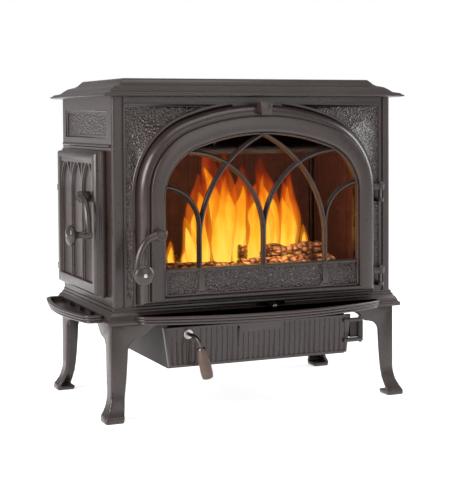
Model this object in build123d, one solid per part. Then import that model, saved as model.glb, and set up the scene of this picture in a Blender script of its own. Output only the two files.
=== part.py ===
# Cast-iron wood burning stove, built as separate castings, plates and fittings.
# Millimetres, +Z up, the front faces -Y, origin on the floor under the middle of the body.
import math
import os

from build123d import *

os.makedirs("parts", exist_ok=True)

# body
half_x = 334
half_y = 184
body_bottom = 242
body_top = 683
overall_top = 724
front_plate_back = -174
rear_plate_front = 176
side_plate = 8

# base casting
base_bottom = 206
base_flare = 17.4
grate_half_x = 120
grate_front = -100
grate_back = 100

# front door
door_back = -186
door_face = -228
hinge_x = 301
hinge_y = -196
hinge_lug_bottoms = (283, 474)
hinge_lug_height = 14
handle_x = -250
handle_z = 396
shaft_radius = 5
shaft_clearance = 0.05

# side loading door
side_front = -145
side_rear = 150
side_bottom = 258
side_top = 570
side_face = -360
side_hinge_x = -347
side_hinge_y = 161
side_handle_y = -107
side_handle_z = 472

# ash door and housing
ash_face = -195
ash_back = -185
ash_top = 193
ash_bottom = 108
ash_hinge_x = 250
ash_hinge_y = -193.5
ash_handle_x = -170
ash_handle_z = 177

# ash lips, out from the base
front_lip_reach = 80.6
side_lip_reach = 56.6

# rear flue collar
flue_z = 578
flue_radius = 76.2
flue_end = 245

# the pieces are drawn about the middle of the firebox body; the stove's own origin is on the
# floor under the middle of everything, handles, lips and collar included
middle_x = -34.5
middle_y = -25.3


def block(x0, x1, y0, y1, z0, z1):
    """Box between two corners."""
    middle = Pos((x0 + x1) / 2, (y0 + y1) / 2, (z0 + z1) / 2)
    return middle * Box(x1 - x0, y1 - y0, z1 - z0)


def rod(start, end, radius):
    """Round bar between two points."""
    way = Vector(*end) - Vector(*start)
    return extrude(Plane(origin=start, z_dir=way) * Circle(radius), amount=way.length)


def from_front(outline, y0, y1):
    """Extrude a face drawn in x and z from y0 back to y1."""
    return extrude(Plane.XZ.offset(-y0) * outline, amount=y1 - y0, dir=(0, 1, 0))


def from_side(outline, x0, x1):
    """Extrude a face drawn in y and z from x0 to x1."""
    return extrude(Plane.YZ.offset(x0) * outline, amount=x1 - x0, dir=(1, 0, 0))


def flat(points):
    """Closed face through points."""
    return make_face(Polyline(*points, close=True))


def rectangle(x0, x1, z0, z1):
    return Pos((x0 + x1) / 2, (z0 + z1) / 2) * Rectangle(x1 - x0, z1 - z0)


def arch(half_width, bottom, spring, apex, big_radius):
    """Three-centred arch with straight sides, as a flat face."""
    rise = spring - apex + big_radius
    small = (big_radius**2 - half_width**2 - rise**2) / (2 * (big_radius - half_width))
    turn = math.atan2(rise, half_width - small)
    join = (big_radius * math.cos(turn), apex - big_radius + big_radius * math.sin(turn))
    haunch = (
        half_width - small + small * math.cos(turn / 2),
        spring + small * math.sin(turn / 2),
    )
    edges = [
        Line((half_width, bottom), (half_width, spring)),
        ThreePointArc((half_width, spring), haunch, join),
        ThreePointArc(join, (0, apex), (-join[0], join[1])),
        ThreePointArc((-join[0], join[1]), (-haunch[0], haunch[1]), (-half_width, spring)),
        Line((-half_width, spring), (-half_width, bottom)),
        Line((-half_width, bottom), (half_width, bottom)),
    ]
    return make_face(edges)


def door_outline(inward):
    """Outline of the front door, from its outer edge (0) to its flat face (1)."""
    return arch(
        283 - 21 * inward,
        246 + 10 * inward,
        478,
        667 - 26 * inward,
        493 - 3 * inward,
    )


def opening(grow):
    """Door opening, grown outward by an amount."""
    return arch(233 + grow, 262 - 0.5 * grow, 470, 607 + grow, 440 + grow)


def moulded(half_wide, half_deep, profile):
    """Rectangular slab whose edge follows a profile of (outward, height) points."""
    front = [(half_wide + out, z) for out, z in profile]
    front += [(-x, z) for x, z in reversed(front)]
    side = [(half_deep + out, z) for out, z in profile]
    side += [(-y, z) for y, z in reversed(side)]
    reach = max(half_wide, half_deep) + 100
    return from_front(flat(front), -reach, reach) & from_side(flat(side), -reach, reach)


def save(shape, name):
    export_step(Pos(-middle_x, -middle_y, 0) * shape, f"parts/{name}.step")


def group(shapes):
    return Compound(list(shapes))


# top plate: a moulded lid, hollow underneath
lid_profile = [
    (0, 683),
    (20, 684.5),
    (24, 686),
    (24.5, 688),
    (20, 690),
    (17, 693),
    (9, 694.4),
    (4, 696),
    (-1.6, 701),
    (-9.6, 706.5),
    (-16.4, 708.5),
    (-22.4, 710),
    (-28, 713.5),
    (-33, 719),
    (-37, 723),
    (-40, overall_top),
]
lid_hollow = block(-315, 315, -165, 168, 682, 696) + block(-290, 290, -138, 138, 690, 716)
top_plate = moulded(half_x, half_y, lid_profile) - lid_hollow
save(top_plate, "top_plate")

# base casting: moulded rim, deck with the grate opening, pads for the legs
base_profile = [
    (17.4, base_bottom),
    (17.4, 213),
    (16.2, 215),
    (13.5, 216),
    (12.4, 220),
    (9.5, 226),
    (4.8, 230.5),
    (4.8, 233.5),
    (2, 235),
    (1.5, 240),
    (0, body_bottom),
]
lever_slot = block(-8, 62, -212, -160, 225.5, 232.5)
base_plinth = moulded(half_x, half_y, base_profile)
base_plinth -= block(-318, 318, -168, 168, 205, 232)
for x_side in (-1, 1):
    for y_side in (-1, 1):
        base_plinth += Pos(x_side * 298, y_side * 148, 219) * Box(56, 56, 26)
base_plinth -= block(-grate_half_x, grate_half_x, grate_front, grate_back, 225, 250)
base_plinth -= lever_slot

# grate: a rimmed plate with ash slots, dropped into the deck
grate = block(-119.5, 119.5, grate_front + 0.5, grate_back - 0.5, 234, 246)
grate_slots = [block(x - 6, x + 6, -84, 84, 230, 250) for x in range(-95, 96, 38)]
for slot in grate_slots:
    grate -= slot
grate_lip = block(-128, 128, grate_front - 8, grate_back + 8, 242.2, 246)
grate_lip -= block(-110, 110, -90, 90, 240, 250)
grate += grate_lip
save(grate, "grate")

# legs: curved angle castings with scalloped brackets and flared feet
leg_x = 340.5
leg_y = 186
leg_wall = 8


def leg_inner(corner):
    """Scalloped inner edge of one leg face, from the foot up to the base."""
    out = corner - leg_x
    return [
        Line((out + 318, 0), (out + 317, 6)),
        Spline((out + 317, 6), (out + 314, 25), (out + 309, 60), (out + 306, 88), (out + 302, 147)),
        Spline((out + 302, 147), (out + 299, 160), (out + 292, 168), (out + 284, 171)),
        Line((out + 284, 171), (out + 276, 173)),
        Spline((out + 276, 173), (out + 262, 178), (out + 250, 189), (out + 236, 195)),
        Line((out + 236, 195), (out + 232, base_bottom)),
    ]


def leg_outer(corner, inset):
    """Outer edge of one leg face from the base down to the flared foot."""
    edge = corner - inset
    return [
        Line((edge, base_bottom), (edge, 70)),
        Spline((edge, 70), (edge + 2.5, 45), (edge + 10, 24), (edge + 17.5, 12)),
        Line((edge + 17.5, 12), (edge + 17.5, 0)),
    ]


def leg_face(corner):
    """One face of the leg between its inner and outer edges."""
    inner = leg_inner(corner)
    outer = leg_outer(corner, 0)
    top = Line(inner[-1] @ 1, outer[0] @ 0)
    foot = Line(outer[-1] @ 1, inner[0] @ 0)
    return make_face(inner + [top] + outer + [foot])


def leg_fill(corner, inset):
    """Everything behind the leg's outer edge, with the edge moved in."""
    outer = leg_outer(corner, inset)
    near = corner - 150
    edges = [
        Line(outer[-1] @ 1, (near, 0)),
        Line((near, 0), (near, base_bottom)),
        Line((near, base_bottom), outer[0] @ 0),
    ]
    return make_face(outer + edges)


front_slab = from_front(leg_face(leg_x), 0, 260)
side_slab = from_side(leg_face(leg_y), 0, 400)
front_skin = from_side(leg_fill(leg_y, 0), 0, 400) - from_side(leg_fill(leg_y, leg_wall), 0, 400)
side_skin = from_front(leg_fill(leg_x, 0), 0, 260) - from_front(leg_fill(leg_x, leg_wall), 0, 260)
leg = (front_slab & front_skin) + (side_slab & side_skin)
leg += front_slab & side_slab & block(0, 400, 0, 260, 0, 10)
leg += block(283, 332.6, 133, 178.1, 196, base_bottom)
leg_bolt_spots = ((298, 148), (318, 162))
for x, y in leg_bolt_spots:
    leg -= Pos(x, y, 200) * Cylinder(4.1, 30)
legs = {
    "leg_rear_right": leg,
    "leg_rear_left": mirror(leg, about=Plane.YZ),
    "leg_front_right": mirror(leg, about=Plane.XZ),
    "leg_front_left": mirror(mirror(leg, about=Plane.YZ), about=Plane.XZ),
}
for name, solid in legs.items():
    save(solid, name)

# bolts that hold the legs to the base pads
leg_bolts = []
bolt_shank = Pos(0, 0, 15.5) * Cylinder(4, 27)
for x_side in (-1, 1):
    for y_side in (-1, 1):
        for x, y in leg_bolt_spots:
            spot = Pos(x_side * x, y_side * y, 193)
            leg_bolts.append(spot * extrude(RegularPolygon(6.5, 6), 2.9) + spot * bolt_shank)
            base_plinth -= spot * Pos(0, 0, 18) * Cylinder(4.05, 28)
save(group(leg_bolts), "leg_bolts")

# front plate: posts, grooves, sunk panel, rim bead and hinge sockets round the door opening
front_plate = block(-half_x, half_x, -half_y, front_plate_back, body_bottom, body_top)
front_corners = front_plate.edges().filter_by(Axis.Z).group_by(Axis.Y)[0]
front_plate = fillet(front_corners, 7)
for side in (-1, 1):
    front_plate -= block(side * 312 - 3, side * 312 + 3, -185, -180.5, 240, 690)
front_plate -= block(-309, 309, -185, -181.5, 670, 672)
sunk = from_front(rectangle(-304, 304, 261, 662) - arch(291, 200, 478, 678, 501), -185, -182.5)
front_plate -= sunk
rim = arch(290, body_bottom, 478, 677, 500) - arch(285, 200, 478, 672, 495)
bead = from_front(rim & rectangle(-400, 400, body_bottom, 670), -188, -183)
front_plate += bead
top_bead = rectangle(-309, 309, 665.5, 669.5) - arch(287, 200, 478, 674, 497)
front_plate += from_front(top_bead, -187, -183)
front_plate -= from_front(arch(240, 259, 472, 613, 445), -200, -160)
front_plate -= block(-17, 17, -195, -184.3, 640, 674)
for low in hinge_lug_bottoms:
    front_plate -= block(282, 314, -195, -184.2, low - 20, low + hinge_lug_height + 3)
    front_plate -= block(291, 311, -190, -180, low - 20, low)
    front_plate += block(293, 309, -196, -183, low - 28, low - 20)
    front_plate += Pos(hinge_x, hinge_y, low - 24) * Cylinder(8, 8)
    front_plate -= Pos(hinge_x, hinge_y, low - 24) * Cylinder(4.05, 10)
save(front_plate, "front_plate")

hinge_pins = []
for low in hinge_lug_bottoms:
    pin = Pos(hinge_x, hinge_y, low - 6) * Cylinder(4, 42)
    pin += Pos(hinge_x, hinge_y, low + hinge_lug_height + 2) * Cylinder(6, 3)
    hinge_pins.append(pin)
save(group(hinge_pins), "front_hinge_pins")

# side plates with a sunk panel and a bead; the left one has the loading opening
side_y0 = front_plate_back
side_y1 = rear_plate_front


def side_wall():
    """Left side plate before its door opening is cut."""
    wall = block(-half_x, side_plate - half_x, side_y0, side_y1, body_bottom, body_top)
    wall -= block(-half_x - 1, 2 - half_x, -150, 160, 596, 657)
    wall -= block(-half_x - 1, 3.5 - half_x, -139, 149, 602, 651)
    bead_bar = rod((-half_x, side_y0 + 1, 580), (-half_x, side_y1 - 1, 580), 4)
    return wall + (bead_bar & block(-400, 0, -180, 180, 570, 590))


left_side_plate = side_wall() - block(-340, -320, -132, 136, 274, 552)
for low in (290, 472):
    left_side_plate += block(-352, -333, 155, 167, low - 20, low - 8)
    left_side_plate -= Pos(side_hinge_x, side_hinge_y, low - 14) * Cylinder(4.05, 20)
save(left_side_plate, "left_side_plate")

right_side_plate = mirror(side_wall(), about=Plane.YZ)
right_side_plate -= block(331.5, 335, -132, 136, 274, 552)
save(right_side_plate, "right_side_plate")

side_pins = []
for low in (290, 472):
    pin = Pos(side_hinge_x, side_hinge_y, low - 3) * Cylinder(4, 34)
    pin += Pos(side_hinge_x, side_hinge_y, low + 15.5) * Cylinder(5.5, 3)
    side_pins.append(pin)
save(group(side_pins), "side_hinge_pins")

# rear plate with the flue way and a raised border
rear_plate = block(-half_x, half_x, rear_plate_front, half_y, body_bottom, body_top)
rear_plate -= block(-300, 300, half_y - 2, half_y + 1, 276, 470)
rear_plate -= Pos(0, 180, flue_z) * Rot(90, 0, 0) * Cylinder(72, 20)
save(rear_plate, "rear_plate")

collar = Pos(0, 189, flue_z) * Rot(90, 0, 0) * Cylinder(98, 10)
collar += rod((0, half_y, flue_z), (0, flue_end, flue_z), flue_radius + 6)
collar += rod((0, flue_end - 10, flue_z), (0, flue_end, flue_z), flue_radius + 9)
collar -= rod((0, 180, flue_z), (0, 260, flue_z), flue_radius)
collar_bolts = []
for turn in (45, 135, 225, 315):
    x = 90.5 * math.cos(math.radians(turn))
    z = flue_z + 90.5 * math.sin(math.radians(turn))
    collar -= rod((x, 180, z), (x, 200, z), 3.1)
    collar_bolts.append(rod((x, 184.2, z), (x, 194, z), 3) + rod((x, 194, z), (x, 198, z), 5.5))
save(collar, "flue_collar")
save(group(collar_bolts), "collar_bolts")

# tie rods that clamp the top plate down to the base
tie_rods = []
for x_side in (-1, 1):
    for y in (-158, 162):
        bar = rod((x_side * 308, y, 233), (x_side * 308, y, 695.8), 4)
        nut = Pos(x_side * 308, y, 243.5) * extrude(RegularPolygon(7, 6), 6)
        tie_rods.append(bar + nut)
        base_plinth -= Pos(x_side * 308, y, 238) * Cylinder(4.05, 20)
save(group(tie_rods), "tie_rods")

# fire chamber lining, baffle and air pipe
rear_burn_plate = block(-300, 300, 158, 165, 250, 558)
for x in range(-275, 276, 25):
    rear_burn_plate += block(x - 4, x + 4, 155.2, 159, 262, 552)
save(rear_burn_plate, "rear_burn_plate")
left_burn_plate = block(-318, -311, -140, 150, 250, 273)
left_burn_plate += block(-318, -311, 140, 150, 250, 560)
left_burn_plate += block(-318, -311, -140, -134, 250, 560)
left_burn_plate += block(-318, -311, -140, 150, 553, 560)
save(left_burn_plate, "left_burn_plate")
right_burn_plate = block(311, 318, -140, 150, 250, 560)
for y in range(-110, 121, 46):
    right_burn_plate += block(308, 312, y - 4, y + 4, 262, 548)
save(right_burn_plate, "right_burn_plate")
save(block(-318, 318, -60, 155, 560, 568), "baffle_plate")
air_manifold = rod((-310.8, -72, 566), (310.8, -72, 566), 10)
air_manifold -= rod((-330, -72, 566), (330, -72, 566), 8)
for x in range(-280, 281, 40):
    air_manifold -= Pos(x, -72, 556) * Cylinder(2.5, 14)
save(air_manifold, "air_manifold")

log_retainer = block(-225, 225, -158, -152, 262, 272)
for x in range(-225, 226, 50):
    log_retainer += block(x - 4, x + 4, -158, -152, body_bottom, 290)
log_retainer += block(-229, 229, -164, -146, body_bottom, 247)
save(log_retainer, "log_retainer")

# burning logs, laid across the grate
front_logs = [
    rod((-215, -112, 290), (-20, -104, 284), 36),
    rod((-8, -98, 286), (222, -112, 290), 38),
]
rear_logs = [
    rod((-240, -20, 284), (-10, -10, 282), 34),
    rod((6, -14, 282), (240, -22, 284), 34),
    rod((-200, 70, 286), (200, 76, 286), 38),
]
save(group(front_logs), "front_logs")
save(group(rear_logs), "rear_logs")
save(rod((10, -56, 328.5), (222, -60, 330), 22), "cross_log")

# front door: moulded frame with pocket, gasket groove, lugs and latch recess
steps = [(0, -194), (0.1, -202), (0.29, -208), (0.52, -212), (0.76, -213.5)]
front_door_frame = from_front(door_outline(0), -194, door_back)
for (near, y0), (far, y1) in zip(steps, steps[1:]):
    ring = [Plane.XZ.offset(-y0) * door_outline(near), Plane.XZ.offset(-y1) * door_outline(far)]
    front_door_frame += loft(ring, ruled=True)
front_door_frame += from_front(door_outline(0.76), -220, -213)
front_door_frame -= from_front(door_outline(0.9), -225, -216)
front_door_frame += from_front(door_outline(1), door_face, -215)
front_door_frame -= from_front(opening(0), -240, -180)
front_door_frame -= from_front(arch(245, 258, 474, 619, 452), -214, -180)
gasket_ring = arch(268, 249, 478, 650, 482) - arch(262, 255, 478, 643, 476)
front_door_frame -= from_front(gasket_ring, -194, -180)
for low in hinge_lug_bottoms:
    lug = block(276, hinge_x, -203, -188.6, low, low + hinge_lug_height)
    lug += Pos(hinge_x, hinge_y, low + hinge_lug_height / 2) * Cylinder(9.5, hinge_lug_height)
    front_door_frame += lug
    front_door_frame -= Pos(hinge_x, hinge_y, low + 7) * Cylinder(4 + shaft_clearance, 30)
keystone_outline = flat([(-11, 644), (11, 644), (14, 672), (-14, 672)])
front_door_frame -= from_front(keystone_outline, -240, -206)
shaft_hole = rod((handle_x, -240, handle_z), (handle_x, -180, handle_z), shaft_radius + shaft_clearance)
front_door_frame -= shaft_hole
front_door_frame -= block(-258, -244, -198, -180, handle_z - 42, handle_z + 8)
save(front_door_frame, "front_door_frame")
keystone = from_front(keystone_outline, -233, -206)
keystone += from_front(flat([(-8, 648), (8, 648), (10.5, 668), (-10.5, 668)]), -235, -232)
save(keystone, "arch_keystone")
gasket_ring = arch(267.5, 249.5, 478, 649.5, 481.5) - arch(262.5, 254.5, 478, 643.5, 476.5)
save(from_front(gasket_ring, -193.5, -184.4), "front_door_gasket")

# tracery: pointed bars over a plain lower panel, with a flange behind the door face
bar_arcs = [
    (104.5, 371, 255, (-160, 2), (371, 620)),
    (178, 388, 178, (-8, 190), (388, 580)),
    (237, 407, 87, (143, 245), (407, 500)),
]


def bars(width):
    """All tracery bars at one width, as a flat face."""
    face = rectangle(-0.65 * width, 0.65 * width, 314, 389)
    for x in (-150, 150):
        face += rectangle(x - 0.65 * width, x + 0.65 * width, 314, 408)
    for centre_x, centre_z, radius, x_span, z_span in bar_arcs:
        for side in (-1, 1):
            ring = Pos(side * centre_x, centre_z) * (
                Circle(radius + width / 2) - Circle(radius - width / 2)
            )
            x0, x1 = sorted((side * x_span[0], side * x_span[1]))
            face += ring & rectangle(x0, x1, *z_span)
    return face & opening(-3)


border = opening(-0.3) - opening(-5)
sill = rectangle(-229, 229, 314, 321)
panel = rectangle(-232.6, 232.6, 262.3, 316)
flange = arch(244.7, 258.3, 474, 618.7, 451.7) - opening(-5)
door_tracery = from_front(flange, -213.7, -209)
door_tracery += from_front(bars(11) + border + sill, -216, -209)
door_tracery += from_front(bars(7) + border + sill, -219, -215)
door_tracery += from_front(bars(3), -222, -218)
door_tracery += from_front(rectangle(-229, 229, 316, 319), -222, -218)
door_tracery += from_front(panel, -218, -209)
pillars = rectangle(-155, -141, 268, 312) + rectangle(141, 155, 268, 312)
pillars += rectangle(-163, -133, 264, 271) + rectangle(133, 163, 264, 271)
door_tracery += from_front(pillars, -221, -217)
save(door_tracery, "door_tracery")

glass_shape = opening(3) & rectangle(-260, 260, 302, 640)
save(from_front(glass_shape, -207, -203), "door_glass")
glass_edge = glass_shape - (opening(-3) & rectangle(-260, 260, 312, 640))
save(from_front(glass_edge, -209, -207), "glass_gasket")
clip_spots = ((-1, 330), (-1, 470), (1, 330), (1, 400), (1, 470))
clips = []
clip_screws = []
for side, z in clip_spots:
    x0, x1 = sorted((side * 228, side * 244))
    clip = block(x0, x1, -202.8, -200.5, z - 8, z + 8)
    x0, x1 = sorted((side * 237, side * 244))
    clip += block(x0, x1, -208.9, -202.5, z - 8, z + 8)
    clip -= rod((side * 240.5, -215, z), (side * 240.5, -190, z), 2.1)
    clips.append(clip)
    screw = rod((side * 240.5, -208.9, z), (side * 240.5, -200.4, z), 2)
    clip_screws.append(screw + rod((side * 240.5, -200.4, z), (side * 240.5, -198, z), 3.4))
save(group(clips), "glass_clips")
save(group(clip_screws), "clip_screws")


def handle_set(prefix, latch_depth):
    """Curved door handle: lever casting with boss, shaft, knob, screw and latch arm."""
    boss = rod((0, -0.4, 0), (0, -28, 0), 12)
    boss += rod((0, -27, 0), (0, -29, 0), 9)
    path = Spline((-4, -19, 0), (-32, -19, -10), (-50, -19, -42), (-51, -19, -76))
    section = Plane(origin=path @ 0, z_dir=path % 0) * RectangleRounded(14, 15, 5)
    lever = boss + sweep(section, path=path)
    lever += rod((-51, -12, -76), (-51, -26, -76), 9.5)
    lever -= rod((0, 5, 0), (0, -20, 0), shaft_radius + shaft_clearance)
    lever -= rod((-51, -40, -76), (-51, -18, -76), 4.05)
    profile = [
        Line((0, -26.6), (8.5, -26.6)),
        Spline((8.5, -26.6), (6.5, -36), (8, -44), (14, -50)),
        Spline((14, -50), (19, -52.5), (21.5, -57), (20, -62)),
        Spline((20, -62), (13, -66.5), (5, -67.5)),
        Line((5, -67.5), (5, -64)),
        Line((5, -64), (0, -64)),
        Line((0, -64), (0, -26.6)),
    ]
    knob = Pos(-51, 0, -76) * revolve(make_face(profile), axis=Axis.Y)
    knob -= rod((-51, -20, -76), (-51, -66, -76), 3)
    screw = rod((-51, -18.4, -76), (-51, -64.2, -76), 2.9)
    screw += rod((-51, -64.2, -76), (-51, -67, -76), 4.6)
    latch_end = latch_depth + 8.8
    shaft = rod((0, -19.8, 0), (0, latch_end, 0), shaft_radius)
    latch = rod((0, latch_depth, 0), (0, latch_end, 0), 6.8)
    latch += block(0, 34, latch_depth, latch_end, -4.5, 4.5)
    latch -= rod((0, 20, 0), (0, 45, 0), shaft_radius)
    return {
        f"{prefix}_lever": lever,
        f"{prefix}_knob": knob,
        f"{prefix}_screw": screw,
        f"{prefix}_shaft": shaft,
        f"{prefix}_latch": latch,
    }


for name, solid in handle_set("front_handle", 31).items():
    save(Pos(handle_x, door_face, handle_z) * solid, name)

# side door: moulded border round a sunk field with three lancets
side_mid = (side_front + side_rear) / 2
side_door = block(-346, -336.5, side_front, side_rear, side_bottom, side_top)
side_door += block(-349, -345, side_front + 3, side_rear - 3, side_bottom + 3, side_top - 3)
upper = block(side_face, -348, side_front + 5, side_rear - 5, side_bottom + 5, side_top - 5)
side_door += chamfer(upper.faces().sort_by(Axis.X)[0].edges(), 4)
field_y0 = side_front + 24
field_y1 = side_rear - 24
field_z0 = side_bottom + 28
field_z1 = side_top - 18
side_door -= block(side_face - 1, -350, field_y0, field_y1, field_z0, field_z1)
side_door -= block(-345, -330, side_front + 26, side_rear - 26, side_bottom + 30, side_top - 30)
lancet_pitch = (field_y1 - field_y0) / 3
lancet_spring = 478


def lancets(width):
    """Three pointed arches side by side, as a flat face of bars."""
    face = rectangle(field_y0, field_y0 + width / 2, field_z0, field_z1)
    for i in range(4):
        y = field_y0 + i * lancet_pitch
        face += rectangle(y - width / 2, y + width / 2, field_z0, field_z1 - 4)
    for i in range(3):
        low = field_y0 + i * lancet_pitch
        high = low + lancet_pitch
        for centre, edge in ((high, low), (low, high)):
            ring = Pos(centre, lancet_spring) * (
                Circle(lancet_pitch + width / 2) - Circle(lancet_pitch - width / 2)
            )
            y0, y1 = sorted((edge, (low + high) / 2))
            face += ring & rectangle(y0 - 1, y1 + 1, lancet_spring, lancet_spring + 80)
    face += rectangle(field_y0, field_y1, field_z1 - 10, field_z1)
    return face & rectangle(field_y0 - 1, field_y1 + 1, field_z0 - 1, field_z1 + 1)


side_door += from_side(lancets(12), -354, -349)
side_door += from_side(lancets(6), -357, -353)
for low in (290, 472):
    side_door += block(-353, -341, 146, side_hinge_y, low, low + 14)
    side_door += Pos(side_hinge_x, side_hinge_y, low + 7) * Cylinder(8.5, 14)
    side_door -= Pos(side_hinge_x, side_hinge_y, low + 7) * Cylinder(4 + shaft_clearance, 30)
side_door -= rod((-370, side_handle_y, side_handle_z), (-330, side_handle_y, side_handle_z), 5.05)
side_groove = rectangle(side_front + 5, side_rear - 5, side_bottom + 5, side_top - 5)
side_groove -= rectangle(side_front + 11, side_rear - 11, side_bottom + 11, side_top - 11)
side_door -= from_side(side_groove, -342, -330)
save(side_door, "side_door")
side_rope = rectangle(side_front + 5.5, side_rear - 5.5, side_bottom + 5.5, side_top - 5.5)
side_rope -= rectangle(side_front + 10.5, side_rear - 10.5, side_bottom + 10.5, side_top - 10.5)
save(from_side(side_rope, -341.5, -334.4), "side_door_gasket")

side_place = Pos(side_face, side_handle_y, side_handle_z) * Rot(0, 0, -90)
for name, solid in handle_set("side_handle", 27).items():
    save(side_place * mirror(solid, about=Plane.YZ), name)

# ash housing under the deck, its pan and the rolled hinge bracket
ash_housing = block(-214, 214, -184, 120, 104, 205.8)
ash_housing += block(-214, 214, -167.8, 120, 200, 231.8)
ash_housing += block(-224, 224, -167.8, 130, 229, 231.8)
ash_housing -= block(-211, 211, -190, 117, 107, 195)
ash_housing -= block(-211, 211, -164.8, 117, 190, 240)
save(ash_housing, "ash_housing")
bracket = block(225.5, ash_hinge_x, -191, -187.5, 140, 176)
bracket += block(225.5, 229, -191, -170, 140, 176)
bracket += block(214, 229, -175, -170, 140, 176)
bracket += Pos(ash_hinge_x, ash_hinge_y, 158) * Cylinder(6.5, 36)
bracket -= Pos(ash_hinge_x, ash_hinge_y, 158) * Cylinder(3.05, 50)
save(bracket, "ash_hinge_bracket")
ash_pin = Pos(ash_hinge_x, ash_hinge_y, 156) * Cylinder(3, 56)
ash_pin += Pos(ash_hinge_x, ash_hinge_y, 185.4) * Cylinder(4.5, 3)
save(ash_pin, "ash_hinge_pin")
ash_pan = block(-196, 196, -168, 100, 110, 160)
ash_pan -= block(-193.5, 193.5, -165.5, 97.5, 112.5, 170)
ash_pan += block(-60, 60, -178, -167, 148, 151)
save(ash_pan, "ash_pan")

# ash door: fluted trapezoid, the middle flutes stop lower
ash_door = from_front(
    flat([(-214, ash_bottom), (214, ash_bottom), (225, ash_top), (-226, ash_top)]),
    ash_face,
    ash_back,
)
for i in range(34):
    x = -206.25 + 12.5 * i
    top_z = 170 if abs(x) < 56 else 186
    if abs(x - ash_handle_x) < 16:
        top_z = 156
    flute = SlotCenterToCenter(top_z - 116, 6, rotation=90)
    ash_door -= from_front(Pos(x, (top_z + 116) / 2) * flute, ash_face - 1, ash_face + 2)
for z0, z1 in ((131, 139), (176.6, 183.6)):
    ash_door += block(206, ash_hinge_x, -200, -187.3, z0, z1)
    ash_door += Pos(ash_hinge_x, ash_hinge_y, (z0 + z1) / 2) * Cylinder(6.4, z1 - z0)
    ash_door -= Pos(ash_hinge_x, ash_hinge_y, (z0 + z1) / 2) * Cylinder(3.05, 12)
ash_shaft = rod((ash_handle_x, -210, ash_handle_z), (ash_handle_x, -170, ash_handle_z), 4.05)
ash_door -= ash_shaft
ash_door -= rod((-52, -200, 184), (-52, -180, 184), 2)
save(ash_door, "ash_door")
rope = rectangle(-208, 208, 111, 190) - rectangle(-203, 203, 116, 185)
save(from_front(rope & rectangle(-209, 209, 108, 230), -184.9, -184.2), "ash_door_gasket")

# ash door handle: washer, bent rod, turned grip and latch tongue
ash_handle_washer = rod((ash_handle_x, -195.3, ash_handle_z), (ash_handle_x, -197.5, ash_handle_z), 10.5)
ash_handle_washer -= ash_shaft
save(ash_handle_washer, "ash_handle_washer")
grip_top = Vector(-158.5, -238, 154)
grip_end = Vector(-145, -244, 88)
rod_path = Spline(
    (ash_handle_x, -205, ash_handle_z),
    (-168, -222, 176),
    (-163, -234, 167),
    tuple(grip_top),
)
rod_path_start = Plane(origin=rod_path @ 0, z_dir=rod_path % 0)
ash_handle_rod = sweep(rod_path_start * Circle(4), path=rod_path)
ash_handle_rod += rod((ash_handle_x, -175.5, ash_handle_z), (ash_handle_x, -205.5, ash_handle_z), 4)
grip_way = (grip_end - grip_top).normalized()
grip_start = grip_top - grip_way * 1
ash_handle_rod += rod(tuple(grip_start), tuple(grip_end - grip_way * 6), 3)
save(ash_handle_rod, "ash_handle_rod")
grip_profile = [
    Line((3.05, 2), (8, 2)),
    Spline((8, 2), (9.5, 6), (11.5, 24), (13, 48), (12.2, 64)),
    Spline((12.2, 64), (11, 67), (8, 68)),
    Line((8, 68), (3.05, 68)),
    Line((3.05, 68), (3.05, 2)),
]
grip_place = Plane(origin=tuple(grip_top), z_dir=grip_way).location * Rot(90, 0, 0)
grip = grip_place * revolve(make_face(grip_profile), axis=Axis.Y)
save(grip, "ash_handle_grip")
ash_latch = rod((ash_handle_x, -183.6, ash_handle_z), (ash_handle_x, -178, ash_handle_z), 7)
ash_latch += block(ash_handle_x, ash_handle_x + 28, -183.6, -178, ash_handle_z - 4, ash_handle_z + 4)
ash_latch -= ash_shaft
save(ash_latch, "ash_handle_latch")


# ash lips: bowed trays with a reeded rim
def ash_lip(half_long, shoulder, depth, bow_radius):
    """Tray with three stepped reeds and a dished top, drawn with its bow towards +Y."""

    def layer(shrink, bottom, height):
        outline = arch(half_long - shrink, -20, shoulder, depth - shrink, bow_radius - shrink)
        return Pos(0, 0, bottom) * extrude(outline, height)

    lip = layer(0, 219, 6) + layer(2.5, 213, 6.5) + layer(6, 207, 6.5)
    lip -= layer(14, 214, 20)
    return lip - block(-half_long, half_long, -21, 0, 200, 230)


front_gap = half_y + base_flare
front_lip = Pos(0, -front_gap, 0) * Rot(0, 0, 180) * ash_lip(291, 3.7, front_lip_reach, 733)
side_gap = half_x + base_flare
side_lip = Pos(-side_gap, 0, 0) * Rot(0, 0, 90) * ash_lip(160, 16.6, side_lip_reach, 560)
lip_screws = []
for x in (-180, 0, 180):
    lip_screws.append(rod((x, -front_gap - 8, 210), (x, -front_gap + 22, 210), 2.5))
for y in (-90, 90):
    lip_screws.append(rod((-side_gap - 8, y, 210), (-side_gap + 22, y, 210), 2.5))
for screw in lip_screws:
    front_lip -= screw
    side_lip -= screw
    base_plinth -= screw
save(front_lip, "front_ash_lip")
save(side_lip, "side_ash_lip")
save(group(lip_screws), "lip_screws")
save(base_plinth, "base_plinth")

# air lever in the slot of the base rim
air_lever = block(15, 25, -222, -172, 227, 231)
air_tip = Pos(20, -226, 229) * Sphere(5.5) - block(10, 30, -222, -210, 220, 240)
save(group([air_lever, air_tip]), "air_lever")
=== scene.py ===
# wood burning stove: the looks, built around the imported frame
import bpy
import bmesh
import math
from mathutils import Matrix, Vector, noise
from mathutils.geometry import interpolate_bezier


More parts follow.
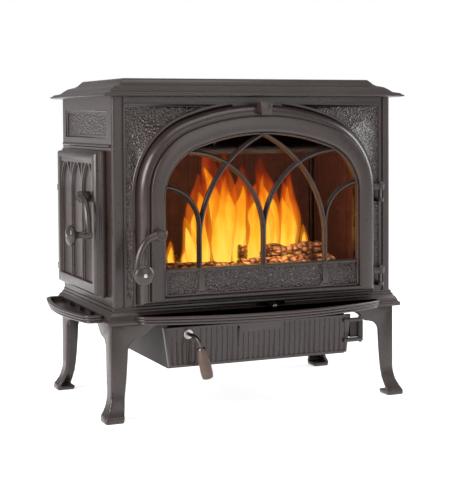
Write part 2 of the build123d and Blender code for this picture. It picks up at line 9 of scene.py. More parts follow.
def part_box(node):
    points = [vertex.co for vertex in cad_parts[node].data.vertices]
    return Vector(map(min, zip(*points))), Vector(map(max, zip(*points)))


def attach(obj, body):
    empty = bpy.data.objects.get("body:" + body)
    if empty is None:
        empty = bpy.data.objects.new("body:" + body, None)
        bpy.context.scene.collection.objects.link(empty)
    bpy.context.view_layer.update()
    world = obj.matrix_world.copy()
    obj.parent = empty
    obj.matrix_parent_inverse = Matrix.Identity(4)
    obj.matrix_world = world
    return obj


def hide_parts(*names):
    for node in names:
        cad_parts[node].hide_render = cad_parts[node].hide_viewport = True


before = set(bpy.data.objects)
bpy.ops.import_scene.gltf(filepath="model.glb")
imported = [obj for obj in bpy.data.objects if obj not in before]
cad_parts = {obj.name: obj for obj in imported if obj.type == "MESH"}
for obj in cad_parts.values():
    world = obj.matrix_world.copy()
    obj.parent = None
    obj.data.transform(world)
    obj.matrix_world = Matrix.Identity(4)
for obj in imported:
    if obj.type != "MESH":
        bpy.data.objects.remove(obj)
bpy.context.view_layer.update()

mm = 0.001
# seeded, so that every run draws the same flames and bark
noise.seed_set(7)
print("frame loaded,", len(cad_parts), "nodes")


# the stove is modelled about the middle of its base, then every piece is moved there
baseLow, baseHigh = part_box("base_plinth")
middle = Vector(((baseLow[0] + baseHigh[0]) / 2, (baseLow[1] + baseHigh[1]) / 2, 0))


def point(x, y, z):
    return Vector((x * mm, y * mm, z * mm))


def finishPiece(name, bm, body, material, nodes=(), sharp=32, move=True):
    # turns a bmesh into a piece that rides on a body and hides the nodes it stands for
    if move:
        bmesh.ops.remove_doubles(bm, verts=bm.verts, dist=0.00002)
        bmesh.ops.recalc_face_normals(bm, faces=bm.faces)
        bmesh.ops.translate(bm, verts=bm.verts, vec=middle)
    mesh = bpy.data.meshes.new(name)
    bm.to_mesh(mesh)
    bm.free()
    for face in mesh.polygons:
        face.use_smooth = True
    mesh.set_sharp_from_angle(angle=math.radians(sharp))
    piece = bpy.data.objects.new(name, mesh)
    bpy.context.scene.collection.objects.link(piece)
    for one in material if isinstance(material, (list, tuple)) else [material]:
        mesh.materials.append(one)
    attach(piece, body)
    if nodes:
        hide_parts(*nodes)
    return piece


def cornerBox(bm, low, high, bevel=0.0, segments=2):
    # box between two corners in millimetres, with rounded edges
    size = [(high[i] - low[i]) * mm for i in range(3)]
    centre = [(high[i] + low[i]) * 0.5 * mm for i in range(3)]
    place = Matrix.Translation(centre) @ Matrix.Diagonal((*size, 1))
    made = bmesh.ops.create_cube(bm, size=1, matrix=place)
    if bevel:
        edges = list({e for v in made["verts"] for e in v.link_edges})
        bmesh.ops.bevel(bm, geom=edges, offset=bevel * mm, segments=segments, profile=0.5,
                        affect="EDGES", material=-1)


def edgesOf(verts):
    # edges that join these vertices to each other
    inside = set(verts)
    return list({e for v in verts for e in v.link_edges if e.other_vert(v) in inside})


def bridge(bm, loops):
    # skin a row of closed loops, one to the next
    for one, two in zip(loops, loops[1:]):
        bmesh.ops.bridge_loops(bm, edges=edgesOf(one) + edgesOf(two))


def capLoop(bm, loop):
    bmesh.ops.contextual_create(bm, geom=edgesOf(loop))


def archLoop(bm, arch, depth=0.0, steps=(16, 30), flip=None):
    # closed three-centred arch; arch is half width, bottom, spring, apex, big radius
    half, bottom, spring, apex, big = arch
    rise = spring - apex + big
    small = (big * big - half * half - rise * rise) / (2 * (big - half))
    turn = math.atan2(rise, half - small)
    first = bm.verts.new(point(half, depth, bottom))
    verts = [first]
    made = bmesh.ops.extrude_vert_indiv(bm, verts=[first])
    bmesh.ops.translate(bm, verts=made["verts"], vec=point(0, 0, spring - bottom))
    verts += made["verts"]
    arcs = [(point(half - small, depth, spring), turn, steps[0]),
            (point(0, depth, apex - big), math.pi - 2 * turn, steps[1]),
            (point(small - half, depth, spring), turn, steps[0])]
    for centre, angle, count in arcs:
        for i in range(count):
            made = bmesh.ops.spin(bm, geom=[verts[-1]], cent=centre, axis=(0, -1, 0),
                                  angle=angle / count, steps=1)
            verts += [g for g in made["geom_last"] if isinstance(g, bmesh.types.BMVert)]
    made = bmesh.ops.extrude_vert_indiv(bm, verts=[verts[-1]])
    bmesh.ops.translate(bm, verts=made["verts"], vec=point(0, 0, bottom - spring))
    verts += made["verts"]
    bm.edges.new((verts[-1], first))
    if flip is not None:
        bmesh.ops.transform(bm, matrix=flip, verts=verts)
    return verts


def ring(bm, centre, way, across, deep, segments=20):
    # closed ring facing a direction, centre in metres, half sizes in millimetres
    place = way.normalized().to_track_quat("Z", "Y").to_matrix().to_4x4()
    place.translation = centre
    place = place @ Matrix.Diagonal((across * mm, deep * mm, 1, 1))
    return bmesh.ops.create_circle(bm, cap_ends=False, radius=1, segments=segments, matrix=place)["verts"]


def tube(bm, path, radii, segments=20):
    # round bar through points in metres
    loops = []
    for i, spot in enumerate(path):
        way = path[min(i + 1, len(path) - 1)] - path[max(i - 1, 0)]
        loops.append(ring(bm, spot, way, radii[i], radii[i], segments))
    bridge(bm, loops)
    capLoop(bm, loops[0])
    capLoop(bm, loops[-1])


def lathe(bm, start, way, profile, steps=48):
    # turned shape: profile is (along, radius) in millimetres from start in the direction way
    place = way.normalized().to_track_quat("Z", "Y").to_matrix().to_4x4()
    place.translation = start
    verts = [bm.verts.new((radius * mm, 0, along * mm)) for along, radius in profile]
    edges = [bm.edges.new(pair) for pair in zip(verts, verts[1:])]
    before = set(bm.verts)
    bmesh.ops.spin(bm, geom=verts + edges, cent=(0, 0, 0), axis=(0, 0, 1), angle=math.tau,
                   steps=steps, use_merge=True)
    made = verts + [v for v in bm.verts if v not in before]
    bmesh.ops.transform(bm, matrix=place, verts=made)


def joinFlats(bm, flat=0.6):
    # flat areas without holes become one face each, so that their edges can be rounded
    seen = set()
    areas = []
    for start in bm.faces:
        if start in seen:
            continue
        area, queue = {start}, [start]
        while queue:
            face = queue.pop()
            for edge in face.edges:
                for other in edge.link_faces:
                    if other not in area and other.normal.angle(start.normal, 1) < math.radians(flat):
                        area.add(other)
                        queue.append(other)
        seen |= area
        edges = {e for f in area for e in f.edges}
        verts = {v for f in area for v in f.verts}
        if len(area) > 1 and len(verts) - len(edges) + len(area) == 1:
            areas.append(list(area))
    for area in areas:
        bmesh.ops.dissolve_faces(bm, faces=[f for f in area if f.is_valid], use_verts=False)
    straight = [v for v in bm.verts if len(v.link_edges) == 2 and v.calc_edge_angle(1) < 0.001]
    bmesh.ops.dissolve_verts(bm, verts=straight)


def castingCopy(name, node, body, material, width=0.8, pebbles=()):
    # copy of a CAD node with its edges rounded; pebbles are planes (axis, place in mm, facing)
    bm = bmesh.new()
    bm.from_mesh(bpy.data.objects[node].data)
    bmesh.ops.remove_doubles(bm, verts=bm.verts, dist=0.00001)
    joinFlats(bm)
    edges = [e for e in bm.edges if len(e.link_faces) == 2 and e.calc_face_angle(0) > 0.5]
    if width:
        bmesh.ops.bevel(bm, geom=edges, offset=width * mm, segments=2, profile=0.5, affect="EDGES",
                        clamp_overlap=False, material=-1)
    for face in bm.faces:
        spot = face.calc_center_median() - middle
        for axis, place, facing in pebbles:
            if face.normal[axis] * facing > 0.98 and abs(spot[axis] - place * mm) < 0.0002:
                face.material_index = 1
    return finishPiece(name, bm, body, material, [node], sharp=40 if width else 12, move=False)


def newMaterial(name):
    material = bpy.data.materials.new(name)
    material.use_nodes = True
    nodes = material.node_tree.nodes
    return material, nodes, material.node_tree.links, nodes["Principled BSDF"]


def objectCoords(nodes, links, scale=(1, 1, 1), turn=(0, 0, 0)):
    coords = nodes.new("ShaderNodeTexCoord")
    mapping = nodes.new("ShaderNodeMapping")
    mapping.inputs["Scale"].default_value = scale
    mapping.inputs["Rotation"].default_value = turn
    links.new(coords.outputs["Object"], mapping.inputs["Vector"])
    return mapping.outputs["Vector"]


def addNoise(nodes, links, vector, scale, detail=2.0, rough=0.5):
    made = nodes.new("ShaderNodeTexNoise")
    made.inputs["Scale"].default_value = scale
    made.inputs["Detail"].default_value = detail
    made.inputs["Roughness"].default_value = rough
    links.new(vector, made.inputs["Vector"])
    return made.outputs["Fac"]


def colourRamp(nodes, links, value, stops):
    made = nodes.new("ShaderNodeValToRGB")
    ramp = made.color_ramp
    while len(ramp.elements) < len(stops):
        ramp.elements.new(0.5)
    for element, (place, colour) in zip(ramp.elements, stops):
        element.position = place
        element.color = (*colour, 1)
    links.new(value, made.inputs["Fac"])
    return made.outputs["Color"]


def addBump(nodes, links, shader, height, strength, distance, before=None):
    made = nodes.new("ShaderNodeBump")
    made.inputs["Strength"].default_value = strength
    made.inputs["Distance"].default_value = distance
    links.new(height, made.inputs["Height"])
    if before is not None:
        links.new(before, made.inputs["Normal"])
    links.new(made.outputs["Normal"], shader.inputs["Normal"])
    return made.outputs["Normal"]


enamel = {"dark": (0.022, 0.0135, 0.0120), "light": (0.034, 0.0225, 0.0200), "rough": 0.27, "grain": 1400,
          "coat": 0.15, "pebbleScale": 230, "pebbleWarp": 120, "pebbleMix": 0.007, "pebbleDepth": 0.0035}


def castEnamel(name, pebbled=0.0):
    # brown satin enamel over cast iron: faint orange peel, slow colour drift; pebbled gives the hammered panels
    material, nodes, links, shader = newMaterial(name)
    vector = objectCoords(nodes, links)
    drift = addNoise(nodes, links, vector, 9, 4, 0.6)
    colour = colourRamp(nodes, links, drift, [(0.3, enamel["dark"]), (0.72, enamel["light"])])
    links.new(colour, shader.inputs["Base Color"])
    patch = addNoise(nodes, links, vector, 60, 3, 0.6)
    span = nodes.new("ShaderNodeMapRange")
    shine = 0.08 * pebbled
    span.inputs["To Min"].default_value = enamel["rough"] - 0.05 - shine
    span.inputs["To Max"].default_value = enamel["rough"] + 0.10 - shine
    links.new(patch, span.inputs["Value"])
    links.new(span.outputs["Result"], shader.inputs["Roughness"])
    shader.inputs["Specular IOR Level"].default_value = 0.5
    shader.inputs["Coat Weight"].default_value = enamel["coat"]
    shader.inputs["Coat Roughness"].default_value = 0.25
    peel = addNoise(nodes, links, vector, enamel["grain"], 2, 0.5)
    normal = addBump(nodes, links, shader, peel, 0.18, 0.0004)
    if pebbled:
        cells = nodes.new("ShaderNodeTexVoronoi")
        cells.feature = "SMOOTH_F1"
        cells.inputs["Scale"].default_value = enamel["pebbleScale"]
        cells.inputs["Smoothness"].default_value = 0.6
        warp = nodes.new("ShaderNodeTexNoise")
        warp.inputs["Scale"].default_value = enamel["pebbleWarp"]
        links.new(vector, warp.inputs["Vector"])
        mix = nodes.new("ShaderNodeMix")
        mix.data_type = "VECTOR"
        mix.inputs["Factor"].default_value = enamel["pebbleMix"]
        links.new(vector, mix.inputs[4])
        links.new(warp.outputs["Color"], mix.inputs[5])
        links.new(mix.outputs[1], cells.inputs["Vector"])
        addBump(nodes, links, shader, cells.outputs["Distance"], pebbled, enamel["pebbleDepth"], normal)
    return material


def simpleMetal(name, colour, rough, metallic=1.0, grain=900, bump=0.1, spread=0.25):
    material, nodes, links, shader = newMaterial(name)
    vector = objectCoords(nodes, links)
    tone = addNoise(nodes, links, vector, 45, 4, 0.6)
    low = tuple(c * (1 - spread) for c in colour)
    high = tuple(min(1, c * (1 + spread)) for c in colour)
    links.new(colourRamp(nodes, links, tone, [(0.3, low), (0.7, high)]), shader.inputs["Base Color"])
    shader.inputs["Metallic"].default_value = metallic
    span = nodes.new("ShaderNodeMapRange")
    span.inputs["To Min"].default_value = rough - 0.06
    span.inputs["To Max"].default_value = rough + 0.08
    links.new(tone, span.inputs["Value"])
    links.new(span.outputs["Result"], shader.inputs["Roughness"])
    addBump(nodes, links, shader, addNoise(nodes, links, vector, grain, 3, 0.6), bump, 0.0004)
    return material


enamelPlain = castEnamel("satinEnamel")
enamelPebbled = castEnamel("pebbledEnamel", 1.0)
# painted firelight: the lining carries a faint glow, though it is no lamp, in place of many bounces of firelight
burntIronPaintedGlow = simpleMetal("burntIronPaintedGlow", (0.060, 0.022, 0.016), 0.75, 0.1, 350, 0.5, 0.45)
paintedFireGlow = burntIronPaintedGlow.node_tree.nodes["Principled BSDF"]
paintedFireGlow.inputs["Emission Color"].default_value = (1.0, 0.32, 0.18, 1)
paintedFireGlow.inputs["Emission Strength"].default_value = 0.022
sootSteel = simpleMetal("blackSheetSteel", (0.035, 0.030, 0.028), 0.55, 0.4)
plainSteel = simpleMetal("plainSteel", (0.50, 0.48, 0.46), 0.30)
darkSteel = simpleMetal("blackenedSteel", (0.10, 0.09, 0.085), 0.35)
ropeGrey = simpleMetal("glassRope", (0.14, 0.13, 0.125), 0.95, 0.0, 1600, 0.8)
gripWood = simpleMetal("gripWood", (0.075, 0.045, 0.034), 0.42, 0.0, 500, 0.3, 0.2)


def barkLook(name):
    # pale cracked plates with black gaps, charred in patches
    material, nodes, links, shader = newMaterial(name)
    vector = objectCoords(nodes, links)
    cells = nodes.new("ShaderNodeTexVoronoi")
    cells.feature = "DISTANCE_TO_EDGE"
    cells.inputs["Scale"].default_value = 60
    warp = addNoise(nodes, links, vector, 45, 3, 0.6)
    shift = nodes.new("ShaderNodeVectorMath")
    shift.operation = "MULTIPLY_ADD"
    shift.inputs[1].default_value = (0.014, 0.014, 0.014)
    spread = nodes.new("ShaderNodeCombineXYZ")
    for axis in range(3):
        links.new(warp, spread.inputs[axis])
    links.new(spread.outputs["Vector"], shift.inputs[0])
    links.new(vector, shift.inputs[2])
    links.new(shift.outputs["Vector"], cells.inputs["Vector"])
    plates = colourRamp(nodes, links, cells.outputs["Distance"],
                        [(0.02, (0.012, 0.007, 0.005)), (0.09, (0.24, 0.15, 0.10)), (0.28, (0.66, 0.52, 0.41))])
    fine = colourRamp(nodes, links, addNoise(nodes, links, vector, 160, 5, 0.7),
                      [(0.35, (0.30, 0.24, 0.2)), (0.65, (1.0, 0.95, 0.9))])
    char = colourRamp(nodes, links, addNoise(nodes, links, vector, 14, 3, 0.6),
                      [(0.38, (0.20, 0.16, 0.14)), (0.52, (1.0, 1.0, 1.0))])
    mixed = plates
    for layer in (fine, char):
        mix = nodes.new("ShaderNodeMix")
        mix.data_type = "RGBA"
        mix.blend_type = "MULTIPLY"
        mix.inputs["Factor"].default_value = 1
        links.new(mixed, mix.inputs[6])
        links.new(layer, mix.inputs[7])
        mixed = mix.outputs[2]
    links.new(mixed, shader.inputs["Base Color"])
    shader.inputs["Roughness"].default_value = 0.9
    addBump(nodes, links, shader, cells.outputs["Distance"], 0.6, 0.004)
    return material


def flameLook(name, stops, power, clear):
    # glow that cools with height; streaks are stretched upwards, clear thins the tips
    material, nodes, links, shader = newMaterial(name)
    vector = objectCoords(nodes, links)
    height = nodes.new("ShaderNodeSeparateXYZ")
    links.new(vector, height.inputs[0])
    rise = nodes.new("ShaderNodeMapRange")
    rise.inputs["From Min"].default_value = 0.30
    rise.inputs["From Max"].default_value = 0.60
    links.new(height.outputs["Z"], rise.inputs["Value"])
    streaks = addNoise(nodes, links, objectCoords(nodes, links, (38, 38, 7)), 1, 4, 0.62)
    wobble = nodes.new("ShaderNodeMath")
    wobble.operation = "MULTIPLY_ADD"
    links.new(streaks, wobble.inputs[0])
    wobble.inputs[1].default_value = 1.5
    wobble.inputs[2].default_value = -0.75
    total = nodes.new("ShaderNodeMath")
    total.operation = "ADD"
    links.new(rise.outputs["Result"], total.inputs[0])
    links.new(wobble.outputs["Value"], total.inputs[1])
    colour = colourRamp(nodes, links, total.outputs["Value"], stops)
    shader.inputs["Base Color"].default_value = (0, 0, 0, 1)
    shader.inputs["Specular IOR Level"].default_value = 0
    shader.inputs["Roughness"].default_value = 1
    links.new(colour, shader.inputs["Emission Color"])
    shader.inputs["Emission Strength"].default_value = power
    solid = [(place, (level, level, level)) for place, level in clear]
    alpha = colourRamp(nodes, links, total.outputs["Value"], solid)
    links.new(alpha, shader.inputs["Alpha"])
    return material


logBark = barkLook("crackedBark")
flame = {"core": [(0.0, (1.0, 0.76, 0.10)), (0.3, (1.0, 0.60, 0.03)), (0.55, (1.0, 0.33, 0.01)),
                  (0.85, (0.85, 0.11, 0.004))],
         "coreClear": [(0.0, 0.95), (0.45, 0.9), (0.85, 0.2)], "corePower": 1.15,
         "mantle": [(0.0, (1.0, 0.30, 0.012)), (0.4, (0.90, 0.15, 0.006)), (0.7, (0.55, 0.045, 0.005)),
                    (0.95, (0.22, 0.012, 0.004))],
         "mantleClear": [(0.0, 0.22), (0.4, 0.34), (0.7, 0.26), (1.0, 0.0)], "mantlePower": 1.0}
flameCore = flameLook("flameCore", flame["core"], flame["corePower"], flame["coreClear"])
flameMantle = flameLook("flameMantle", flame["mantle"], flame["mantlePower"], flame["mantleClear"])

doorGlass, nodes, links, shader = newMaterial("doorGlass")
shader.inputs["Base Color"].default_value = (1.0, 0.97, 0.94, 1)
shader.inputs["Roughness"].default_value = 0.02
shader.inputs["IOR"].default_value = 1.05
shader.inputs["Transmission Weight"].default_value = 1.0
shader.inputs["Alpha"].default_value = 0.12

slotLooks = {
    "iron_enamel": enamelPlain,
    "sheet_steel": sootSteel,
    "fire_iron": burntIronPaintedGlow,
    "fastener": plainSteel,
    "dark_steel": darkSteel,
    "rope": ropeGrey,
    "glass": doorGlass,
    "log_wood": logBark,
    "grip_wood": gripWood,
}
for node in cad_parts.values():
    for place in node.material_slots:
        place.material = slotLooks[place.material.name.split(".")[0]]
print("materials set")


# castings kept from the frame, with softened edges
castings = {"legWidth": 3.2, "boxWidth": 0.6}
castingList = [
    # name, node, body, edge width in mm, pebbled planes
    ("frontCasting", "front_plate", "stove_body", 0, [(1, -182.5, -1)]),
    ("leftCasting", "left_side_plate", "stove_body", 0, [(0, -330.5, -1)]),
    ("rightCasting", "right_side_plate", "stove_body", 0, [(0, 330.5, 1)]),
    ("backCasting", "rear_plate", "stove_body", 0, [(1, 182, 1)]),
    ("lidCasting", "top_plate", "stove_body", 0.5, []),
    ("baseCasting", "base_plinth", "stove_body", 0.8, []),
    ("flueRing", "flue_collar", "stove_body", 0.8, []),
    ("keystoneBlock", "arch_keystone", "front_door", 0.8, []),
    ("sideDoorCasting", "side_door", "side_door", 0.5, []),
    ("ashDoorCasting", "ash_door", "ash_door", 0.5, []),
]
for name, node, body, width, pebbles in castingList:
    castingCopy(name, node, body, [enamelPlain, enamelPebbled], width, pebbles)
for node in ("leg_front_left", "leg_front_right", "leg_rear_left", "leg_rear_right"):
    castingCopy("cabriole_" + node, node, "stove_body", enamelPlain, castings["legWidth"])
castingCopy("ashBox", "ash_housing", "stove_body", sootSteel, castings["boxWidth"])
print("castings rounded")


# front door frame: moulding drawn between the door's outline and its opening
doorFrame = {"back": -186, "lip": -194, "face": -228, "pocket": -214,
             "knuckle": [(0, 4.05), (0, 8.6), (0.9, 9.5), (13.1, 9.5), (14, 8.6), (14, 4.05), (0, 4.05)]}


def doorOutline(inward):
    return (283 - 21 * inward, 246 + 10 * inward, 478, 667 - 26 * inward, 493 - 3 * inward)


def openingArch(grow):
    return (233 + grow, 262 - 0.5 * grow, 470, 607 + grow, 440 + grow)


bm = bmesh.new()
profile = [(0.006, doorFrame["back"]), (0, -187), (0, doorFrame["lip"]), (0.04, -198.5), (0.11, -202.6),
           (0.2, -206), (0.31, -208.8), (0.44, -211), (0.58, -212.6), (0.7, -213.4), (0.76, -213.6),
           (0.765, -218.8), (0.785, -219.8), (0.82, -220), (0.87, -219.8), (0.895, -218.8), (0.9, -216),
           (0.985, -215.8), (0.992, -226.4), (1.01, -227.5), (1.045, doorFrame["face"])]
loops = [archLoop(bm, doorOutline(t), depth) for t, depth in profile]
loops += [archLoop(bm, openingArch(g), depth) for g, depth in
          [(7, doorFrame["face"]), (3.2, -227.4), (1, -225.4), (0, -222.5), (0, doorFrame["pocket"])]]
pocket = (245, 258, 474, 619, 452)
loops += [archLoop(bm, pocket, depth) for depth in (doorFrame["pocket"], doorFrame["back"])]
bridge(bm, loops + [loops[0]])
for low in (283, 474):
    cornerBox(bm, (276, -203, low), (301, -188.6, low + 14), 1.2)
    lathe(bm, point(301, -196, low), Vector((0, 0, 1)), doorFrame["knuckle"])
finishPiece("doorFrame", bm, "front_door", enamelPlain, ["front_door_frame"], 38)
print("door frame made")


# tracery: coved bars over a pebbled lower panel
tracery = {"bar": [(5.5, -209), (5.5, -212.2), (5.0, -213.4), (3.9, -214.6), (2.9, -216.4), (2.2, -218.6),
                   (1.8, -220.8), (1.2, -221.8), (0, -222)],
           # centre x and z, radius, first and last angle of the bent bars of one side
           "arcs": ((104.5, 371, 255, 180, 113.4), (178, 388, 178, 180, 91), (237, 407, 87, 180, 96))}
barProfile = tracery["bar"] + [(-across, depth) for across, depth in reversed(tracery["bar"][:-1])]


def archBar(bm, centreX, centreZ, radius, start, finish, steps=40):
    # coved bar bent round a centre in the plane of the door, angles in degrees
    verts = [bm.verts.new(point(centreX + radius + across, depth, centreZ)) for across, depth in barProfile]
    edges = [bm.edges.new(pair) for pair in zip(verts, verts[1:] + verts[:1])]
    centre = point(centreX, 0, centreZ)
    spun = Matrix.Rotation(math.radians(-start), 4, "Y")
    turn = Matrix.Translation(centre) @ spun @ Matrix.Translation(-centre)
    bmesh.ops.transform(bm, matrix=turn, verts=verts)
    made = bmesh.ops.spin(bm, geom=verts + edges, cent=centre, axis=(0, -1, 0),
                          angle=math.radians(finish - start), steps=steps)
    capLoop(bm, verts)
    capLoop(bm, [g for g in made["geom_last"] if isinstance(g, bmesh.types.BMVert)])


def straightBar(bm, x, low, high):
    verts = [bm.verts.new(point(x + across, depth, low)) for across, depth in barProfile]
    face = bm.faces.new(verts)
    made = bmesh.ops.extrude_face_region(bm, geom=[face])
    moved = [g for g in made["geom"] if isinstance(g, bmesh.types.BMVert)]
    bmesh.ops.translate(bm, verts=moved, vec=point(0, 0, high - low))


bm = bmesh.new()
for sign in (1, -1):
    for centreX, centreZ, radius, start, finish in tracery["arcs"]:
        if sign > 0:
            archBar(bm, centreX, centreZ, radius, start, finish)
        else:
            archBar(bm, -centreX, centreZ, radius, 180 - start, 180 - finish)
    straightBar(bm, sign * 150, 314, 409)
straightBar(bm, 0, 314, 390)
border = [(-0.3, -209), (-0.3, -218.5), (-0.9, -219.6), (-2.4, -220), (-4, -219.4), (-5, -217.6), (-5, -209)]
loops = [archLoop(bm, openingArch(g), depth) for g, depth in border]
flange = (244.7, 258.3, 474, 618.7, 451.7)
loops += [archLoop(bm, flange, -209), archLoop(bm, flange, -213.7), archLoop(bm, openingArch(3), -212.5)]
bridge(bm, loops + [loops[0]])
cornerBox(bm, (-229, -219, 314), (229, -209, 321), 0.8)
cornerBox(bm, (-229, -222, 316), (229, -212, 319), 1.2, 3)
for x in (-148, 148):
    cornerBox(bm, (x - 7, -221, 268), (x + 7, -217, 316), 1.2, 3)
    cornerBox(bm, (x - 15, -221, 263), (x + 15, -217, 272), 1.6, 3)
    cornerBox(bm, (x - 10, -220.6, 270), (x + 10, -217, 277), 1.6, 3)
    cornerBox(bm, (x - 10, -220.6, 307), (x + 10, -217, 314), 1.4, 3)
for low, high in (((-231, -220.6, 262.6), (231, -217, 267)), ((-231.6, -220.6, 262.6), (-227, -217, 316)),
                  ((227, -220.6, 262.6), (231.6, -217, 316))):
    cornerBox(bm, low, high, 1.2, 3)
finishPiece("doorTracery", bm, "front_door", enamelPlain, ["door_tracery"], 38)

bm = bmesh.new()
cornerBox(bm, (-231.8, -218, 262.6), (231.8, -209.2, 315.6), 0.6)
finishPiece("doorLowerPanel", bm, "front_door", enamelPebbled, [], 38)
print("tracery made")


# ash lips: bowed trays with three reeds round the rim and a dished floor
lips = {"front": (291, 0, 3.7, 80.6, 733), "side": (160, 0, 16.6, 56.6, 560),
        "profile": [(12, 207), (6.6, 207), (5.2, 207.9), (4.7, 209.6), (5.0, 211.4), (6.0, 212.6), (3.6, 213.4),
                    (2.3, 214.5), (1.8, 216.2), (2.2, 217.9), (3.4, 218.8), (1.2, 219.5), (0.2, 220.9),
                    (0, 222.6), (0.7, 224.2), (2.2, 225), (7.5, 225), (9.2, 224.5), (10.6, 222.4), (12, 218),
                    (14.5, 215.2), (18, 214.2), (20, 214)]}


def lipPiece(name, arch, place, node):
    half, bottom, spring, apex, big = arch
    bm = bmesh.new()
    lie = Matrix.Rotation(math.radians(90), 4, "X")
    loops = []
    for shrink, height in lips["profile"]:
        shape = (half - shrink, bottom, spring, apex - shrink, big - shrink)
        loops.append(archLoop(bm, shape, height, (14, 40), place @ lie))
    bridge(bm, loops)
    capLoop(bm, loops[0])
    capLoop(bm, loops[-1])
    finishPiece(name, bm, "stove_body", enamelPlain, [node], 50)


lipPiece("frontAshLip", lips["front"], Matrix.Translation(point(0, -201.4, 0)), "front_ash_lip")
sidePlace = Matrix.Translation(point(-351.4, 0, 0)) @ Matrix.Rotation(math.radians(-90), 4, "Z")
lipPiece("sideAshLip", lips["side"], sidePlace, "side_ash_lip")
print("ash lips made")


# door handles: boss with a raised ring, curved lever with a ridge, mushroom knob with a screw
handle = {"boss": [(-0.4, 5.1), (-0.4, 11.4), (0.6, 12), (24, 12), (25.6, 11.2), (26.2, 9.8), (26.9, 9.6),
                   (28.6, 9.2), (29, 8.4), (28.6, 7.2), (27.2, 6.6), (26.9, 0)],
          "knob": [(26.6, 0), (26.6, 8.2), (27.4, 8.8), (29, 8.3), (32, 7.1), (36, 6.5), (41, 6.9), (44.5, 8.2),
                   (47.5, 11), (49.8, 14.2), (51.4, 17.4), (53.2, 19.8), (55.4, 21.2), (57.6, 21.5),
                   (60, 21.1), (62.2, 19.6), (64.2, 16.4), (65.8, 12.4), (66.8, 9.2), (67.4, 7.4), (67.5, 6.2),
                   (66.9, 5.4), (64.4, 5.2), (64.2, 0)],
          "screw": [(64.2, 0), (64.2, 4.6), (66.2, 4.6), (66.8, 4.2), (67, 3.4), (67, 0)],
          "knobX": -51, "knobZ": -76}


def doorHandle(prefix, body, place):
    # place turns the handle's own frame, standing out along -Y, to its door
    bm = bmesh.new()
    lathe(bm, Vector((0, 0, 0)), Vector((0, -1, 0)), handle["boss"])
    curve = interpolate_bezier(point(-4, -19, 0), point(-40, -19, -2), point(-52, -19, -40),
                               point(-51, -19, -76), 30)
    loops = []
    for i, spot in enumerate(curve):
        t = i / (len(curve) - 1)
        way = curve[min(i + 1, 29)] - curve[max(i - 1, 0)]
        across = Vector((0, 1, 0)).cross(way).normalized()
        wide = 9.0 - 1.3 * math.sin(math.pi * t)
        frameTurn = Matrix((across, Vector((0, 1, 0)), way.normalized())).transposed().to_4x4()
        frameTurn.translation = spot
        frameTurn = frameTurn @ Matrix.Diagonal((wide * mm, 7.2 * mm, 1, 1))
        loop = bmesh.ops.create_circle(bm, cap_ends=False, radius=1, segments=24, matrix=frameTurn)["verts"]
        for v in loop:
            # raised ridge along the outside of the lever
            lift = max(0.0, (spot.y - v.co.y) / (7.2 * mm))
            v.co.y -= 1.0 * mm * lift ** 10
        loops.append(loop)
    bridge(bm, loops)
    capLoop(bm, loops[0])
    capLoop(bm, loops[-1])
    lathe(bm, point(handle["knobX"], 0, handle["knobZ"]), Vector((0, -1, 0)),
          [(12, 0), (12, 8.6), (13, 9.5), (24.6, 9.5), (26, 8.6), (26, 0)])
    bmesh.ops.transform(bm, matrix=place, verts=bm.verts)
    finishPiece(prefix + "LeverCasting", bm, body, enamelPlain, [prefix + "_lever"], 38)
    for part, profile, look, slotName in (("knob", handle["knob"], enamelPlain, "iron_enamel"),
                                          ("screw", handle["screw"], plainSteel, "fastener")):
        bm = bmesh.new()
        lathe(bm, point(handle["knobX"], 0, handle["knobZ"]), Vector((0, -1, 0)), profile)
        bmesh.ops.transform(bm, matrix=place, verts=bm.verts)
        finishPiece(prefix + "Turned" + part, bm, body, look, [prefix + "_" + part], 38)


doorHandle("front_handle", "front_handle", Matrix.Translation(point(-250, -228, 396)))
sideTurn = Matrix(((0, 1, 0, 0), (1, 0, 0, 0), (0, 0, 1, 0), (0, 0, 0, 1)))
doorHandle("side_handle", "side_handle", Matrix.Translation(point(-360, -107, 472)) @ sideTurn)
print("door handles made")


# ash door handle: bent rod, ferrule and turned grip
ashHandle = {"x": -170, "z": 177, "top": (-158.5, -238, 154), "end": (-145, -244, 88),
             "grip": [(2, 3.2), (2, 7.4), (3, 8), (6, 9.3), (14, 10.6), (24, 11.6), (36, 12.5), (48, 13),
                      (56, 12.8), (62, 12.3), (66, 11.2), (67.6, 9.2), (68, 7.6), (68, 0)],
             "ferrule": [(0.4, 4), (0.4, 7.6), (1, 8.3), (4.6, 9.2), (5.2, 8.9), (5.6, 4), (0.4, 4)]}
bm = bmesh.new()
path = [point(ashHandle["x"], y, ashHandle["z"]) for y in (-175.5, -190, -200)]
path += interpolate_bezier(point(-170, -205, 177), point(-168.5, -227, 178.5), point(-161.5, -238, 171),
                           point(*ashHandle["top"]), 24)
gripWay = (point(*ashHandle["end"]) - point(*ashHandle["top"])).normalized()
path.append(point(*ashHandle["top"]) + gripWay * 4 * mm)
tube(bm, path, [4] * len(path))
finishPiece("ashHandleBentRod", bm, "ash_handle", darkSteel, ["ash_handle_rod"], 38)
bm = bmesh.new()
lathe(bm, point(*ashHandle["top"]), gripWay, ashHandle["grip"])
finishPiece("ashHandleTurnedGrip", bm, "ash_handle", gripWood, ["ash_handle_grip"], 38)
bm = bmesh.new()
lathe(bm, point(*ashHandle["top"]), gripWay, ashHandle["ferrule"])
finishPiece("ashHandleFerrule", bm, "ash_handle", darkSteel, [], 38)
bm = bmesh.new()
lathe(bm, point(ashHandle["x"], -195.3, ashHandle["z"]), Vector((0, -1, 0)),
      [(0, 4.05), (0, 10.5), (1.4, 10.5), (2.2, 9.6), (2.2, 4.05), (0, 4.05)])
finishPiece("ashHandleDisc", bm, "ash_handle", plainSteel, ["ash_handle_washer"], 38)
print("ash handle made")


